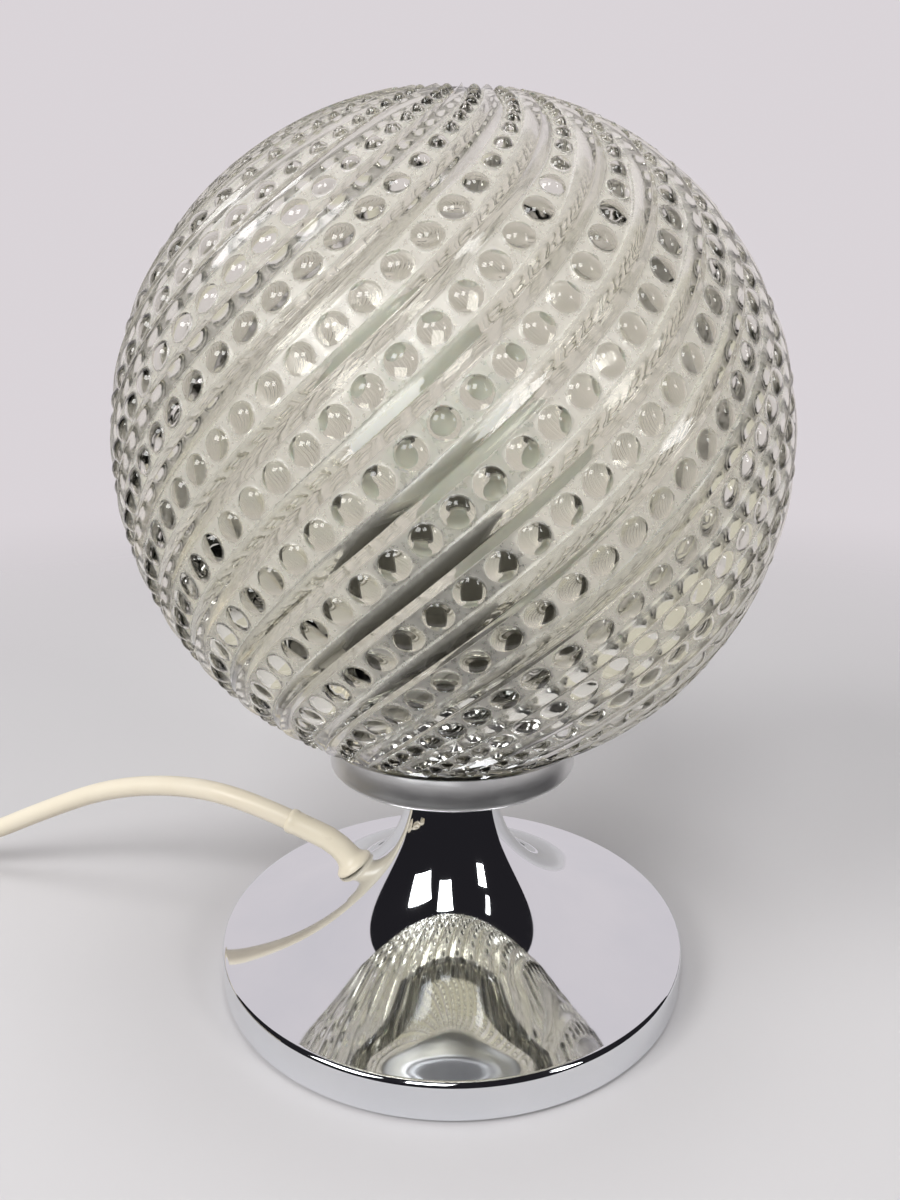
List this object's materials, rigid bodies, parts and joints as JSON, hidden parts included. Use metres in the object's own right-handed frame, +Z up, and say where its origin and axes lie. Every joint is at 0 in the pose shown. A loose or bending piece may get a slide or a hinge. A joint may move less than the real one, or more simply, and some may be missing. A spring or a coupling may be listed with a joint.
{
  "type": "table lamp",
  "caption": "Table lamp: hollow pressed-glass globe with spiral rows of lens beads on a chrome trumpet pedestal, with lampholder, bulb, cord, hand switch and plug.",
  "frame": {"origin": "middle of the felt's underside, on the surface the lamp stands on", "axes": "+Z up along the lamp's axis, -Y towards the viewer, cord leaves towards -X"},
  "size_m": [0.3945, 0.1653, 0.2266],
  "materials": {
    "chrome_shell": "polished",
    "cast_weight": "rough cast",
    "plated_steel": "satin",
    "felt": "felted",
    "collar_metal": "satin",
    "gasket_rubber": "matt",
    "globe_glass": "clear, pressed",
    "holder_plastic": "glossy",
    "ceramic": "glazed",
    "contact_brass": "satin",
    "frosted_glass": "frosted",
    "cap_metal": "satin",
    "black_glass": "glossy",
    "stem_glass": "clear",
    "filament_metal": "dull",
    "cream_plastic": "semi-gloss",
    "tie_plastic": "matt",
    "cord_sheath": "soft sheen",
    "brown_wire": "matt",
    "blue_wire": "matt"
  },
  "bodies": {
    "lamp": {"pedestal": "chrome_shell", "base_weight": "cast_weight", "base_plate": "plated_steel", "felt_pad": "felt", "threaded_nipple": "plated_steel", "lower_nut": "plated_steel", "lower_washer": "plated_steel", "upper_nut": "plated_steel", "upper_washer": "plated_steel", "collar": "collar_metal", "neck_gasket": "gasket_rubber", "holder_cap": "holder_plastic", "holder_sleeve": "holder_plastic", "holder_insert": "ceramic", "holder_thread": "contact_brass", "centre_contact": "contact_brass", "terminals": "contact_brass", "terminal_screws": "plated_steel", "cord_grommet": "cream_plastic", "grommet_lock": "cream_plastic", "cord_tie": "tie_plastic", "inner_cord": "cord_sheath", "wire_live": "brown_wire", "wire_neutral": "blue_wire", "cord_lead": "cord_sheath", "cord_link": "cord_sheath", "cord_coil": "cord_sheath", "cord_tail": "cord_sheath", "switch_base": "cream_plastic", "switch_cover": "cream_plastic", "switch_contacts": "contact_brass", "switch_screws": "plated_steel", "plug_body": "cream_plastic", "plug_pins": "contact_brass", "plug_pin_sleeves": "cream_plastic"},
    "globe": {"globe": "globe_glass"},
    "bulb": {"bulb_glass": "frosted_glass", "bulb_cap": "cap_metal", "bulb_insulator": "black_glass", "bulb_foot": "contact_brass", "bulb_stem": "stem_glass", "bulb_leads": "plated_steel", "bulb_filament": "filament_metal"},
    "rocker": {"switch_rocker": "cream_plastic"}
  },
  "joints": [
    {"name": "globe_lift", "type": "slide", "parent": "lamp", "child": "globe", "axis": [0, 0, 1], "range_m": [0, 0.13]},
    {"name": "bulb_lift", "type": "slide", "parent": "lamp", "child": "bulb", "axis": [0, 0, 1], "range_m": [0, 0.028]},
    {"name": "rocker_tilt", "type": "hinge", "parent": "lamp", "child": "rocker", "pos_m": [-0.22, 0.043, 0.0146], "axis": [0, 1, 0], "range_deg": [0, 16]}
  ]
}
